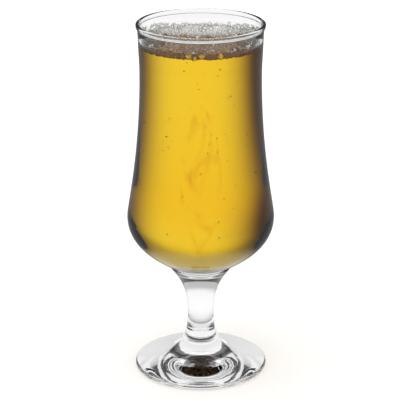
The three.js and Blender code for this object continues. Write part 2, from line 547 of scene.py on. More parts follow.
def arc(centre: Vector, radius: float, start: float, sweep: float) -> list[Vector]:
    """Part of a circle, anticlockwise.

    Args:
        centre: middle of the circle.
        radius: its radius.
        start: angle of the first point in degrees, from straight out.
        sweep: degrees from the first point to the last.

    Returns:
        The points, both ends among them.
    """
    turns = [math.radians(start + sweep * step / ROUND) for step in range(ROUND + 1)]
    return [centre + radius * at(math.cos(turn), math.sin(turn)) for turn in turns]


def crossing(points: Sequence[Vector], height: float) -> Vector:
    """Where a rising run of points crosses a height.

    Args:
        points: the run.
        height: height that it crosses.

    Returns:
        The point at that height.
    """
    for below, above in zip(points, points[1:]):
        if below.y <= height < above.y:
            return below.lerp(above, (height - below.y) / (above.y - below.y))
    raise ValueError("the run never crosses that height")


@cache
def unit_ball(fineness: int) -> tuple[list[Vector], list[list[int]]]:
    """Places and faces of a ball of radius one.

    Args:
        fineness: subdivisions of the twenty-sided body that it starts from.

    Returns:
        The places of its vertices, and the numbers of each face's vertices.
    """
    mesh = bmesh.new()
    bmesh.ops.create_icosphere(mesh, subdivisions=fineness, radius=1.0)
    mesh.verts.index_update()
    places = [vert.co.copy() for vert in mesh.verts]
    faces = [[vert.index for vert in face.verts] for face in mesh.faces]
    mesh.free()
    return places, faces


def linked(name: str, mesh: bmesh.types.BMesh, finishes: Iterable[Finish]) -> bpy.types.Object:
    """Put a mesh into the scene.

    Args:
        name: name of the object.
        mesh: its mesh, which is freed.
        finishes: finishes in the order of the faces' indices.

    Returns:
        The object.
    """
    data = bpy.data.meshes.new(name)
    mesh.to_mesh(data)
    mesh.free()
    for finish in finishes:
        data.materials.append(finish.material())
    made = bpy.data.objects.new(name, data)
    bpy.context.scene.collection.objects.link(made)
    return made


class Lathe:
    """Turns profiles into smooth bodies of revolution, and sets balls beside them."""

    def __init__(self, name: str, finishes: Iterable[Finish], sides: int = SIDES) -> None:
        """Start an empty body.

        Args:
            name: name of the piece.
            finishes: every finish that its faces may take.
            sides: facets round the axis.
        """
        self.name = name
        self.finishes = list(finishes)
        self.sides = sides
        self.mesh = bmesh.new()

    def ring(self, point: Vector) -> list[bmesh.types.BMVert]:
        """Add the vertices of one profile point.

        Args:
            point: the point.

        Returns:
            A ring of them, or a single one on the axis.
        """
        if point.x < SAME_POINT:
            return [self.mesh.verts.new((0.0, 0.0, point.y))]
        turns = [2 * math.pi * step / self.sides for step in range(self.sides)]
        return [self.mesh.verts.new(around(point.x, turn, point.y)) for turn in turns]

    def face(self, corners: Sequence[bmesh.types.BMVert], finish: Finish) -> None:
        """Add a smooth face.

        Args:
            corners: its vertices in order.
            finish: its finish.
        """
        face = self.mesh.faces.new(corners)
        face.material_index = self.finishes.index(finish)
        face.smooth = True

    def bridge(self, low: Sequence[bmesh.types.BMVert], high: Sequence[bmesh.types.BMVert],
               finish: Finish) -> None:
        """Close the strip between two rings.

        Args:
            low: ring that comes first along the profile.
            high: ring that comes next.
            finish: the faces' finish.
        """
        for step in range(self.sides):
            after = (step + 1) % self.sides
            corners = [low[step % len(low)], low[after % len(low)],
                       high[after % len(high)], high[step % len(high)]]
            self.face(list(dict.fromkeys(corners)), finish)

    def turn(self, spans: Sequence[Span]) -> Lathe:
        """Revolve a profile.

        Args:
            spans: stretches of the profile, end to end.

        Returns:
            This body.
        """
        last: Vector | None = None
        ring: list[bmesh.types.BMVert] = []
        for span in spans:
            for point in span.points:
                if last is not None and (point - last).length < SAME_POINT:
                    continue
                new = self.ring(point)
                if last is not None:
                    self.bridge(ring, new, span.finish)
                ring, last = new, point
        return self

    def ball(self, place: Vector, half: float, finish: Finish, fineness: int = 2) -> None:
        """Add a round body, such as a bubble.

        Args:
            place: its middle.
            half: its radius.
            finish: its finish.
            fineness: subdivisions of the ball that it is made from.
        """
        places, faces = unit_ball(fineness)
        verts = [self.mesh.verts.new(place + half * point) for point in places]
        for corners in faces:
            self.face([verts[corner] for corner in corners], finish)

    def done(self, node: str | None, slot: Slot, shape: Shape | None = None) -> None:
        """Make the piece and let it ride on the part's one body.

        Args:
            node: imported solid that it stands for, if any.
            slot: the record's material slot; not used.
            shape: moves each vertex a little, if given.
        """
        if shape is not None:
            for vert in self.mesh.verts:
                vert.co = shape(vert.co.copy())
        piece = linked(self.name, self.mesh, self.finishes)
        piece.data.set_sharp_from_angle(angle=CREASE)
        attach(piece, BODY)
        if node is not None:
            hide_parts(node)
        LOG.info("%s: %d faces", self.name, len(piece.data.polygons))


@dataclass(frozen=True)
class Extent:
    """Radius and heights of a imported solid."""

    radius: float
    bottom: float
    top: float

    @classmethod
    def of(cls, node: str) -> Extent:
        """Extent of the node with this name."""
        low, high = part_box(node)
        return cls(high[0], low[2], high[2])


@dataclass
class Foot:
    """Pressed foot: a disc with a round edge and a trumpet that rises to a collar under the stem."""

    extent: Extent
    edge: float = 2.6 * MM
    ring: float = 13.5 * MM
    hollow: float = 1.2 * MM
    collar_height: float = 1.4 * MM
    collar_radius: float = 8.8 * MM
    collar_spread: float = 0.5 * MM
    under_out: float = 0.17
    under_in: float = 0.7
    disc_in: float = 0.51
    disc_up: float = 0.21
    collar_out: float = 0.09
    collar_down: float = 0.7
    wave_size: float = 4.5 * MM
    wave_depth: float = 0.05 * MM
    finer: float = 2.3  # how many finer waves go into one, and their share of its depth
    finer_depth: float = 0.5

    def profile(self) -> list[Span]:
        """Draw the foot.

        Returns:
            Its outline from the middle of the underside to the middle of the seat.
        """
        collar_top = at(self.collar_radius, self.extent.top)
        collar_foot = at(collar_top.x + self.collar_spread, self.extent.top - self.collar_height)
        edge = at(self.extent.radius - self.edge / 2, self.edge)
        ring = at(edge.x - self.ring, 0.0)
        spread = edge.x - collar_foot.x
        drop = collar_foot.y - edge.y
        under = bend(at(0.0, self.hollow), at(self.under_out * ring.x, 0.0), at(-self.under_in * ring.x, 0.0),
                     ring, LONG)
        disc_end = at(-self.disc_in * spread, self.disc_up * drop)
        collar_end = at(self.collar_out * spread, -self.collar_down * drop)
        trumpet = bend(edge, disc_end, collar_end, collar_foot, LONG)
        rim = arc(at(edge.x, self.edge / 2), self.edge / 2, -90, 180)
        collar = [collar_foot.lerp(collar_top, step / SHORT) for step in range(SHORT + 1)]
        seat = [collar_top, at(0.0, self.extent.top)]
        return [Span(under + rim + trumpet + collar, PRESSED_GLASS), Span(seat, FUSED_SEAT)]

    def pressed(self, place: Vector) -> Vector:
        """Add the shallow waves that a mould leaves in the hollow underside, none of them below the table.

        Args:
            place: place of a vertex.

        Returns:
            The place that it moves to.
        """
        inside = self.extent.radius - self.edge / 2 - self.ring - place.to_2d().length
        if inside > 0 and place.z < self.edge / 2:
            fine = self.finer_depth * noise.noise(place * self.finer / self.wave_size)
            wave = noise.noise(place / self.wave_size) + fine
            place.z = max(0.0, place.z + self.wave_depth * wave * min(1.0, inside / self.wave_size))
        return place

    def build(self) -> None:
        """Turn the foot."""
        lathe = Lathe("foot_glass", [PRESSED_GLASS, FUSED_SEAT])
        lathe.turn(self.profile()).done("foot", Slot.GLASS, self.pressed)


@dataclass
class Stem:
    """Drawn stem: narrow near its lower end, flared to an upright edge under the bowl."""

    extent: Extent
    end_radius: float = 8.55 * MM
    waist_radius: float = 6.9 * MM
    waist_rise: float = 13.3 * MM
    end_in: float = 0.64
    end_up: float = 0.22
    waist: float = 0.53
    flare_waist: float = 0.733
    seat_out: float = 0.145
    seat_down: float = 0.055

    def profile(self) -> list[Span]:
        """Draw the stem.

        Returns:
            Its outline from the lower seat to the upper one.
        """
        end = at(self.end_radius, self.extent.bottom)
        waist = at(self.waist_radius, self.extent.bottom + self.waist_rise)
        seat = at(self.extent.radius, self.extent.top)
        rise = seat.y - waist.y
        spread = seat.x - waist.x
        low = bend(end, at(self.end_in * (waist.x - end.x), self.end_up * self.waist_rise),
                   at(0.0, -self.waist * self.waist_rise), waist, LONG)
        flare = bend(waist, at(0.0, self.flare_waist * rise),
                     at(self.seat_out * spread, -self.seat_down * rise), seat, LONG)
        return [
            Span([at(0.0, self.extent.bottom), end], FUSED_SEAT),
            Span(low + flare, CLEAR_GLASS),
            Span([seat, at(0.0, self.extent.top)], FUSED_SEAT),
        ]

    def build(self) -> None:
        """Turn the stem."""
        Lathe("stem_glass", [CLEAR_GLASS, FUSED_SEAT]).turn(self.profile()).done("stem", Slot.GLASS)


@dataclass(frozen=True)
class Walls:
    """How far a skin lies inside the bowl's outer skin at each station."""

    belly: float = 0.0
    waist: float = 0.0
    lip: float = 0.0
    rim: float = 0.0
    drop: float = 0.0  # how far below the top it runs into the bead

    def plus(self, gap: float) -> Walls:
        """The same skin, this much further in."""
        return Walls(self.belly + gap, self.waist + gap, self.lip + gap, self.rim + gap, self.drop)


@dataclass
class Bowl:
    """Blown bowl: a flat seat below, a round belly, a long waist and a beaded rim."""

    extent: Extent
    seat_radius: float
    beer_level: float
    belly_rise: float = 28 * MM
    waist_rise: float = 78 * MM
    waist_radius: float = 31.25 * MM
    lip_rise: float = 17.5 * MM
    lip_radius: float = 31.9 * MM
    rim_radius: float = 33 * MM
    bead: float = 2 * MM
    bead_nose: float = 0.7 * MM
    bead_step: float = 0.7
    bead_round: float = 0.1
    bead_full: float = 0.55
    base: float = 4 * MM
    outer: Walls = Walls(rim=0.75 * MM, drop=2.75 * MM)
    inner: Walls = Walls(2.1 * MM, 1.65 * MM, 1.5 * MM, 1.85 * MM, 2 * MM)
    lean: float = 0.02
    under_out: float = 0.21
    under_up: float = 0.16
    under_belly: float = 0.6
    side_belly: float = 0.077
    side_waist: float = 0.558
    neck_waist: float = 0.25
    neck_lip: float = 0.4
    rim_lip: float = 0.4
    rim_in: float = 0.25
    floor_middle: float = 0.6
    floor_belly: float = 0.5

    def bead_flank(self, walls: Walls, widest: Vector) -> list[Vector]:
        """One flank of the bead, from its neck up to its widest place.

        Args:
            walls: the skin that runs into it.
            widest: where the flank ends.

        Returns:
            The run of points.
        """
        neck = at(self.rim_radius - walls.rim, self.extent.top - walls.drop)
        across, tall = widest - neck
        leave = at(self.bead_step * across, self.bead_round * tall)
        return bend(neck, leave, at(0.0, -self.bead_full * tall), widest, SHORT)

    def bead_outline(self) -> list[Vector]:
        """Draw the bead.

        Returns:
            The run of points from its neck outside, over its round top, to its neck inside.
        """
        half = self.bead / 2
        middle = at(self.rim_radius - half, self.extent.top - self.bead_nose)
        turns = [math.pi * step / ROUND for step in range(1, ROUND)]
        nose = [middle + at(half * math.cos(turn), self.bead_nose * math.sin(turn)) for turn in turns]
        outside = self.bead_flank(self.outer, middle + at(half, 0.0))
        inside = self.bead_flank(self.inner, middle - at(half, 0.0))
        return outside + nose + inside[::-1]

    def side(self, walls: Walls) -> list[Vector]:
        """The tulip side from belly to the bead.

        Args:
            walls: how far inside the outer skin it runs.

        Returns:
            The run of points.
        """
        belly_height = self.extent.bottom + self.belly_rise
        waist_height = belly_height + self.waist_rise
        lip_height = waist_height + self.lip_rise
        rim_rise = self.extent.top - lip_height
        belly = at(self.extent.radius - walls.belly, belly_height)
        waist = at(self.waist_radius - walls.waist, waist_height)
        lip = at(self.lip_radius - walls.lip, lip_height)
        rim = at(self.rim_radius - walls.rim, self.extent.top - walls.drop)
        outward = at(self.lean, 1.0)
        tulip = bend(belly, at(0.0, self.side_belly * self.waist_rise),
                     at(0.0, -self.side_waist * self.waist_rise), waist, 2 * LONG)
        neck = bend(waist, at(0.0, self.neck_waist * self.lip_rise), -self.neck_lip * self.lip_rise * outward,
                    lip, SHORT)
        mouth = bend(lip, self.rim_lip * rim_rise * outward,
                     at(-self.rim_in * (rim.x - lip.x), -self.rim_in * rim_rise), rim, SHORT)
        return tulip + neck[1:] + mouth[1:]

    def inside(self, gap: float) -> list[Vector]:
        """Draw the inside of the bowl.

        Args:
            gap: how far off its skin the run lies.

        Returns:
            The run of points from the middle of its floor to the rim.
        """
        walls = self.inner.plus(gap)
        floor = at(0.0, self.extent.bottom + self.base + gap)
        belly = at(self.extent.radius - walls.belly, self.extent.bottom + self.belly_rise)
        bottom = bend(floor, at(self.floor_middle * belly.x, 0.0),
                      at(0.0, -self.floor_belly * (belly.y - floor.y)), belly, LONG)
        return bottom + self.side(walls)[1:]

    def profile(self) -> list[Span]:
        """Draw the bowl.

        Returns:
            Its outline from the middle of the seat, over the rim, to the middle of the floor.
        """
        seat = at(self.seat_radius, self.extent.bottom)
        belly = at(self.extent.radius, self.extent.bottom + self.belly_rise)
        leave = at(self.under_out * (belly.x - seat.x), self.under_up * self.belly_rise)
        under = bend(seat, leave, at(0.0, -self.under_belly * self.belly_rise), belly, LONG)
        inside = self.inside(0.0)
        level = crossing(inside, self.beer_level)
        dry = [point for point in inside if point.y > self.beer_level]
        wet = [point for point in inside if point.y < self.beer_level]
        return [
            Span([at(0.0, self.extent.bottom), seat], FUSED_SEAT),
            Span(under + self.side(self.outer) + self.bead_outline() + dry[::-1] + [level], CLEAR_GLASS),
            Span([level] + wet[::-1], WETTED_GLASS),
        ]

    def build(self) -> None:
        """Turn the bowl."""
        lathe = Lathe("bowl_glass", [CLEAR_GLASS, WETTED_GLASS, FUSED_SEAT])
        lathe.turn(self.profile()).done("bowl", Slot.GLASS)


@dataclass
class Beer:
    """The drink, with the small bubbles and specks that drift in it."""

    bowl: Bowl
    level: float
    gap: float = 0.02 * MM
    gas: int = 60
    specks: int = 75
    smallest: float = 0.14 * MM
    largest: float = 0.34 * MM
    clearance: float = 5 * MM  # of what drifts from the glass, and of small bodies from floor and surface
    floor_clearance: float = 6 * MM
    surface_clearance: float = 4 * MM
    plume: float = 8 * MM  # radius of the plume of haze in the middle, and how far below the surface it ends
    plume_depth: float = 30 * MM
    plume_fullness: float = 0.6
    seed: int = 11

    def body(self) -> list[Span]:
        """Draw the drink.

        Returns:
            Its outline from the middle of the bowl's floor to the middle of the surface.
        """
        wall = self.bowl.inside(self.gap)
        wetted = [point for point in wall if point.y < self.level]
        return [Span(wetted + [crossing(wall, self.level), at(0.0, self.level)], BEER_BODY)]

    def skin(self) -> list[Span]:
        """Draw the thin skin where the beer meets the air.

        Returns:
            Its outline.
        """
        low = crossing(self.bowl.inside(self.gap), self.level + self.gap)
        high = low + at(0.0, self.gap)
        under = Span([at(0.0, low.y), low, high], FUSED_SEAT)
        return [under, Span([high, at(0.0, high.y)], BEER_SURFACE)]

    def drifting(self) -> list[Span]:
        """Draw the plume of haze up the middle.

        Returns:
            Its outline.
        """
        low = self.bowl.inside(self.gap)[0].y + self.clearance
        high = self.level - self.plume_depth
        shares = [step / (2 * LONG) for step in range(1, 2 * LONG)]
        swell = [at(self.plume * math.sin(math.pi * share) ** self.plume_fullness, low + (high - low) * share)
                 for share in shares]
        return [Span([at(0.0, low)] + swell + [at(0.0, high)], HAZE)]

    def scattered(self, lathe: Lathe, finish: Finish, count: int, draw: random.Random) -> None:
        """Scatter small round bodies through the drink.

        Args:
            lathe: body that takes them.
            finish: their finish.
            count: how many there are.
            draw: source of chance.
        """
        wall = self.bowl.inside(self.gap)
        low, high = wall[0].y + self.floor_clearance, self.level - self.surface_clearance
        for _ in range(count):
            height = draw.uniform(low, high)
            radius = math.sqrt(draw.random()) * (crossing(wall, height).x - self.clearance)
            turn = draw.uniform(0, 2 * math.pi)
            half = self.smallest + (self.largest - self.smallest) * draw.random() ** 2
            lathe.ball(around(radius, turn, height), half, finish)

    def build(self) -> None:
        """Turn the drink and its skin, and let its bubbles rise."""
        Lathe("beer_body", [BEER_BODY]).turn(self.body()).done("beer", Slot.BEER)
        Lathe("beer_surface", [FUSED_SEAT, BEER_SURFACE]).turn(self.skin()).done(None, Slot.BEER)
        Lathe("beer_haze", [HAZE]).turn(self.drifting()).done(None, Slot.BEER)
        draw = random.Random(self.seed)
        for name, finish, count in (("beer_bubbles", GAS, self.gas), ("beer_specks", SEDIMENT, self.specks)):
            small = Lathe(name, [finish])
            self.scattered(small, finish, count, draw)
            small.done(None, Slot.BEER)


@dataclass(frozen=True)
class LargeBubble:
    """A bubble against the glass."""

    bearing: float  # in degrees
    radius: float
    float_height: float  # of its middle above the beer, in its radii
    sunk: bool = False  # pushes the froth aside

    def middle(self, limit: float, level: float) -> Vector:
        """Its middle, when it touches a wall of this radius and floats on this level."""
        height = level + self.float_height * self.radius
        return around(limit - self.radius, math.radians(self.bearing), height)

    def across(self, place: Vector) -> tuple[float, float]:
        """Measure where a place lies.

        Args:
            place: the place.

        Returns:
            Its distances from the axis, and along the glass from the bubble's bearing.
        """
        turn = math.atan2(place.y, place.x) - math.radians(self.bearing)
        reach = place.to_2d().length
        return reach, reach * math.sin(turn) if math.cos(turn) > 0 else math.inf


@dataclass
class FoamHead:
    """Thin head of froth, with clear bubbles that crowd towards the glass and climb it."""

    bowl: Bowl
    extent: Extent
    middle: float = 0.7 * MM  # height in the middle and at the glass, and how suddenly it rises there
    wall_rise: float = 2.4 * MM
    wall_power: int = 5
    wave: float = 0.35 * MM  # height of a swell, and its length in cells
    wave_cells: float = 4.0
    dip: float = 0.9 * MM
    gap: float = 0.06 * MM
    cell: float = 1.1 * MM
    dome: float = 0.75  # reach of a dome, in cells
    relief: float = 0.25 * MM
    notch: float = 1.3  # depth of the froth's gap behind a large bubble, and half its width, in its radii
    notch_half: float = 0.85
    seed: int = 29
    smallest: float = 0.22 * MM
    largest: float = 0.95 * MM
    coarse: float = 0.45 * MM  # a smaller bubble than this has fewer faces
    climbers: int = 1500
    climb: float = 2.6 * MM  # how high they climb the glass
    sides_climb: float = 0.8  # how much higher than that at the flanks, and lower at the front and back
    climb_thins: float = 1.7  # how fast they get fewer with height
    ragged: float = 0.4  # how uneven their upper edge is, and how fast that changes round the glass
    ragged_times: float = 9.0
    dwindle: float = 0.4  # how much smaller they are there
    flank_crowd: float = 0.3  # how far they are drawn towards the flanks
    crowd: int = 1100
    band: float = 10 * MM  # how far in from the glass the crowd reaches, and how fast it gets thinner
    band_thins: float = 1.5
    pile: float = 0.6 * MM  # how high it is piled at the glass
    scatter: int = 700
    scatter_spread: float = 0.7  # share of the range of sizes that the scattered ones take
    # where the milky film of painted backlight begins towards +Y, and where every bubble takes it
    backlight_starts: float = -2 * MM
    backlight_ends: float = 14 * MM
    # where the dark film of painted shade begins towards the flanks, and where every bubble takes it
    flank_starts: float = 14 * MM
    flank_ends: float = 26 * MM
    bank_growth: float = 0.5  # how much larger bubbles are towards +Y
    perch: float = 0.4  # height of a bubble's middle over the froth, in its radii
    stray: float = 0.06  # share of small bubbles that take the milky film of painted light anywhere
    spacing: float = 0.78  # least distance of two bubbles' middles, in their radii together
    large: tuple[LargeBubble, ...] = (
        LargeBubble(-101.7, 2.1 * MM, 0.6, sunk=True),
        LargeBubble(-95.5, 0.9 * MM, 0.0, sunk=True),
        LargeBubble(-88.9, 2.3 * MM, 0.75, sunk=True),
        LargeBubble(-70.5, 1.6 * MM, 0.35, sunk=True),
        LargeBubble(-38.0, 1.2 * MM, 1.6),
        LargeBubble(4.0, 1.5 * MM, 1.5),
        LargeBubble(52.0, 1.2 * MM, 2.0),
        LargeBubble(88.0, 1.3 * MM, 1.8),
        LargeBubble(117.0, 1.4 * MM, 1.7),
        LargeBubble(170.0, 1.2 * MM, 1.9),
        LargeBubble(213.0, 1.5 * MM, 1.5),
    )
    limit: float = field(init=False)

    def __post_init__(self) -> None:
        """Find how far out the glass lets the foam go."""
        self.limit = crossing(self.bowl.inside(self.gap), self.extent.bottom).x

    def top(self, radius: float) -> float:
        """Height of the froth, without its domes, at a distance from the axis."""
        share = min(1.0, radius / self.limit)
        return self.extent.bottom + self.middle + (self.wall_rise - self.middle) * share ** self.wall_power

    def profile(self) -> list[Span]:
        """Draw the froth.

        Returns:
            Its outline from the middle of the underside to the middle of the top.
        """
        bottom = self.extent.bottom + self.gap
        height = self.top(self.limit) - bottom
        under = [at(self.limit * step / LONG, bottom) for step in range(LONG)]
        side = [at(self.limit, bottom + height * step / SHORT) for step in range(SHORT + 1)]
        inward = [self.limit * (1 - step / (2 * LONG)) for step in range(1, 2 * LONG + 1)]
        return [Span(under + side + [at(radius, self.top(radius)) for radius in inward], FROTH)]

    def bubbled(self, place: Vector) -> Vector:
        """Swell the top into small domes, hang the underside into the beer and make way for large bubbles.

        Args:
            place: place of a vertex.

        Returns:
            The place that it moves to.
        """
        nearest = noise.voronoi(place / self.cell)[0][0]
        dome = math.sqrt(max(0.0, 1.0 - (nearest / self.dome) ** 2))
        depth = place.z - self.extent.bottom - self.gap
        if depth < SAME_POINT:
            place.z -= self.dip * dome
        else:
            lift = min(1.0, depth / self.middle)
            level = Vector((place.x, place.y, 0.0))
            swell = self.wave * noise.noise(level / (self.wave_cells * self.cell))
            place.z += lift * (self.relief * dome + swell)
        for bubble in self.large:
            reach, along = bubble.across(place)
            if bubble.sunk and abs(along) < self.notch_half * bubble.radius:
                free = self.limit - self.notch * math.sqrt(bubble.radius ** 2 - along ** 2)
                if reach > free:
                    place.xy *= free / reach
        return place

    def drawn(self, number: int, draw: random.Random) -> tuple[Vector, float]:
        """Place one small bubble.

        Args:
            number: which one it is. Those that climb the glass come first, then the crowd near it, then
                the rest.
            draw: source of chance.

        Returns:
            Its middle and its radius.
        """
        turn = draw.uniform(0, 2 * math.pi)
        size, depth, rise = draw.random(), draw.random(), draw.random()
        spread = self.largest - self.smallest
        if number < self.climbers:
            turn -= self.flank_crowd * math.sin(2 * turn)
            uneven = self.ragged * noise.noise(around(self.ragged_times, turn, 0.0))
            higher = self.sides_climb * math.cos(2 * turn)
            rise = self.climb * rise ** self.climb_thins * (1 + uneven + higher)
            half = self.largest * (0.5 + 0.5 * size) * (1 - self.dwindle * rise / self.climb)
            inset = 0.0
        elif number < self.climbers + self.crowd:
            half = self.smallest + spread * size ** 2
            inset = self.band * depth ** self.band_thins
            rise *= self.pile * (1 - inset / self.band) ** 2
        else:
            half = self.smallest + self.scatter_spread * spread * size ** 3
            inset = self.limit * (1 - math.sqrt(depth))
            rise = 0.0
        half *= 1 + self.bank_growth * max(0.0, math.sin(turn))
        radius = max(0.0, self.limit - half - inset)
        return around(radius, turn, self.top(radius) + self.perch * half + rise), half

    def bubbles(self) -> list[tuple[Vector, float]]:
        """Place the small bubbles.

        Returns:
            Their middles and radii, none of them deep inside another.
        """
        draw = random.Random(self.seed)
        kept: list[tuple[Vector, float]] = []
        large = [(bubble.middle(self.limit, self.extent.bottom), bubble.radius) for bubble in self.large]
        near: dict[tuple[int, int], list[tuple[Vector, float]]] = {}
        pitch = 2 * self.largest * (1 + self.bank_growth)
        for number in range(self.climbers + self.crowd + self.scatter):
            place, half = self.drawn(number, draw)
            column, row = int(place.x // pitch), int(place.y // pitch)
            keys = [(column + i, row + j) for i in (-1, 0, 1) for j in (-1, 0, 1)]
            others = large + [other for key in keys for other in near.get(key, [])]
            if any((place - other).length < self.spacing * (half + size) for other, size in others):
                continue
            kept.append((place, half))
            near.setdefault((column, row), []).append((place, half))
        return kept

    def film(self, place: Vector, draw: random.Random) -> Film:
        """Choose the finish of a small bubble.

        Args:
            place: its middle.
            draw: source of chance.

        Returns:
            Milky, as painted backlight, towards +Y and for a stray share; darker, as painted shade, towards
            the flanks at +X and -X; and else wet.
        """
        if draw.uniform(self.backlight_starts, self.backlight_ends) < place.y or draw.random() < self.stray:
            return PAINTED_LIGHT_FILM
        flank = draw.uniform(self.flank_starts, self.flank_ends) < abs(place.x)
        return PAINTED_SHADE_FILM if flank else WET_FILM

    def build(self) -> None:
        """Turn the froth and set the bubbles on it."""
        froth = Lathe("foam_froth", [FROTH], 2 * SIDES)
        froth.turn(self.profile()).done("foam_head", Slot.FOAM, self.bubbled)
        draw = random.Random(self.seed)
        clear = Lathe("foam_bubbles", [WET_FILM, PAINTED_SHADE_FILM, PAINTED_LIGHT_FILM])
        for place, half in self.bubbles():
            clear.ball(place, half, self.film(place, draw), 1 if half < self.coarse else 2)
        clear.done(None, Slot.FOAM)
        sunk = Sunk(self.extent.bottom)
        floating = Lathe("foam_large_bubbles", [sunk, PAINTED_LIGHT_FILM])
        for bubble in self.large:
            place = bubble.middle(self.limit, self.extent.bottom)
            floating.ball(place, bubble.radius, sunk if bubble.sunk else PAINTED_LIGHT_FILM, fineness=4)
        floating.done(None, Slot.FOAM)


@dataclass(frozen=True)
class PaleFloor(Finish):
    """White table top: it takes the glass's shadow, and shows as white through the glass."""

    name: str = "pale_floor"
    white: Colour = (0.8, 0.8, 0.8)
    grain: float = 1 / 60  # size of its fine grain
    lift: float = 0.3  # brightness that the camera sees beside that of the lamps
    near: float = 0.4  # how far from the glass it begins to whiten, and where it is all white
    far: float = 1.2
    mirrored: float = 0.3  # brightness in reflections, away from the glass
    lit_near: float = 0.055  # how far from the glass reflections show it white, and where that ends
    lit_far: float = 0.095

    def write(self, graph: Graph) -> None:
        """Write a matt floor that the camera sees a little lifted.

        Args:
            graph: empty tree that takes the nodes.
        """
        place = graph.place()
        rough = graph.mottled(graph.clouds(place, self.grain), 0.7, 0.9)
        matt = graph.add("BsdfDiffuse", {"Color": self.white, "Roughness": rough})
        distance = graph.node("VectorMath", {0: place}, operation="LENGTH").outputs["Value"]
        lift = graph.math("MULTIPLY", graph.rays(Rays.CAMERA),
                          graph.ramp(distance, self.near, self.far, self.lift, 1.0))
        mirrored = graph.ramp(distance, self.lit_near, self.lit_far, 1.0, self.mirrored)
        glow, mirror, through = (graph.add("Emission", {"Color": WHITE, "Strength": strength})
                                 for strength in (lift, mirrored, 1.0))
        shown = graph.mix(graph.rays(Rays.GLOSSY), graph.add("AddShader", {0: matt, 1: glow}), mirror)
        graph.finish(graph.mix(graph.rays(Rays.THROUGH), shown, through))


@dataclass(frozen=True)
class GridCloth(Finish):
    """Louvred cloth: light that comes square through it stays bright, and light at a slant is held back."""

    name: str
    low: float  # heights of its ends
    high: float
    square: float  # slants up to which all light passes, and from which the least passes
    slant: float
    lit: float = 0.0  # share of the light that is its own, where the rest comes from behind it
    turned: float = 0.0  # how far its louvres lean to one side, and how far at its low end
    low_turned: float = 0.0
    low_tight: float = 1.0  # how much sooner it darkens at its low end
    steady: float = 0.0  # height from which nothing changes any more
    upright: bool = True  # whether only a sideways slant counts
    pitch: float = 0.9235  # square of the cosine of the slope at which most light comes through
    steep: float = 0.5  # sines of the slopes where light begins to be held back, and is all held back
    steepest: float = 0.75
    held: float = 0.06  # share that still passes where it is darkest
    fade: float = 10 * MM  # how far in from its low end and its high end it fades out
    top_fade: float = 10 * MM
    green: float = 1.0  # how much more than red the cloth takes of green and blue
    blue: float = 1.0

    def slanted(self, graph: Graph, louvre: Socket) -> Socket:
        """How far light comes from the louvres' direction.

        Args:
            graph: tree that is written.
            louvre: direction of the louvres.

        Returns:
            Near nought for light along them, and more the further it comes from one side.
        """
        if not self.upright:
            return graph.edge_on(louvre)
        across = graph.vector("CROSS_PRODUCT", louvre, (0.0, 0.0, 1.0))
        upward = graph.vector("CROSS_PRODUCT", across, louvre)
        sideways = graph.math("SUBTRACT", 1.0, graph.edge_on(across))
        along = graph.math("SUBTRACT", self.pitch, graph.math("MULTIPLY", sideways, sideways))
        slant = graph.math("SUBTRACT", 1.0, graph.math("SQRT", graph.math("MAXIMUM", along, 0.0)))
        steep = graph.ramp(graph.edge_on(upward), 1 - self.steepest, 1 - self.steep, 1.0, 0.0)
        return graph.math("ADD", slant, steep)

    def write(self, graph: Graph) -> None:
        """Write a sheet that darkens away from its louvres' direction and fades out at its ends.

        Args:
            graph: empty tree that takes the nodes.
        """
        place = graph.node("NewGeometry").outputs["Position"]
        outward = graph.vector("NORMALIZE", graph.vector("MULTIPLY", place, (1.0, 1.0, 0.0)))
        height = graph.along(place, "Z")
        turned = graph.ramp(height, self.low, self.steady, self.low_turned, self.turned)
        tight = graph.ramp(height, self.low, self.steady, self.low_tight, 1.0)
        louvre = graph.add("VectorRotate", {"Vector": outward, "Angle": turned}, rotation_type="Z_AXIS")
        slant = graph.math("MULTIPLY", self.slanted(graph, louvre), tight)
        below = graph.ramp(height, self.low, self.low + self.fade, 0.0, 1.0)
        above = graph.ramp(height, self.high - self.top_fade, self.high, 1.0, 0.0)
        red = graph.ramp(slant, self.square, self.slant, 1.0, self.held)
        passed = graph.add("CombineColor", {
            "Red": red,
            "Green": graph.math("POWER", red, self.green),
            "Blue": graph.math("POWER", red, self.blue),
        })
        cloth = graph.mix(self.lit, graph.add("BsdfTransparent", {"Color": passed}),
                          graph.add("Emission", {"Color": passed}))
        graph.finish(graph.mix(graph.math("MULTIPLY", below, above), graph.add("BsdfTransparent"), cloth))


@dataclass(frozen=True)
class Lamp:
    """A square lamp that faces the glass."""

    name: str
    place: tuple[float, float, float]
    width: float
    power: float
    mirrored_only: bool = False  # lights nothing and only shows in reflections

    def hang(self) -> None:
        """Hang the lamp."""
        data = bpy.data.lights.new(self.name, "AREA")
        data.size = self.width
        data.energy = self.power
        lamp = bpy.data.objects.new(self.name, data)
        lamp.location = self.place
        lamp.rotation_euler = (-lamp.location).to_track_quat("-Z", "Y").to_euler()
        lamp.visible_transmission = False
        lamp.visible_diffuse = not self.mirrored_only
        bpy.context.scene.collection.objects.link(lamp)


